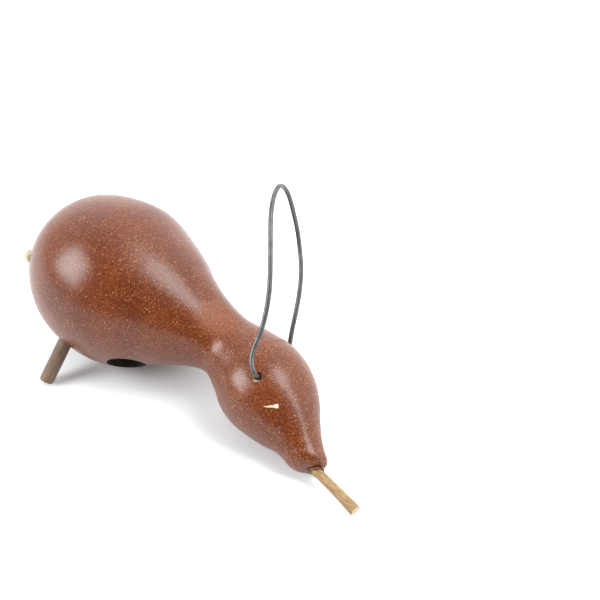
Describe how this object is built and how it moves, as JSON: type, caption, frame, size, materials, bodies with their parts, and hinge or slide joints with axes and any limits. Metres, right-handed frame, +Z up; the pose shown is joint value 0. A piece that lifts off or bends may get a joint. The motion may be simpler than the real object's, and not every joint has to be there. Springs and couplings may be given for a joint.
{
  "type": "gourd birdhouse",
  "caption": "Dried bottle gourd made into a small hanging birdhouse: hollow rind with an entrance hole, a dowel perch, its dried stem and a swinging wire hanger, lying on its side.",
  "frame": {"origin": "middle of the bounding box in plan, on the surface that the gourd lies on", "axes": "+X along the gourd towards its stem, +Z up, with the gourd lying on its side"},
  "size_m": [0.1852, 0.105, 0.0901],
  "materials": {
    "stained_rind": "red-brown stain under a satin varnish, with fine pale speckles",
    "dried_stem": "dry, fibrous, matt",
    "weathered_dowel": "stained, matt",
    "galvanised_wire": "dull grey galvanised"
  },
  "bodies": {
    "gourd": {"gourd_shell": "stained_rind", "stem": "dried_stem", "perch": "weathered_dowel"},
    "hanger": {"wire_hanger": "galvanised_wire"}
  },
  "joints": [
    {"name": "hanger_swing", "type": "hinge", "parent": "gourd", "child": "hanger", "pos_m": [0.03135, 0.0042, 0.0248], "axis": [-0.2618, 0.7104, -0.6533], "range_deg": [-35, 262]}
  ]
}
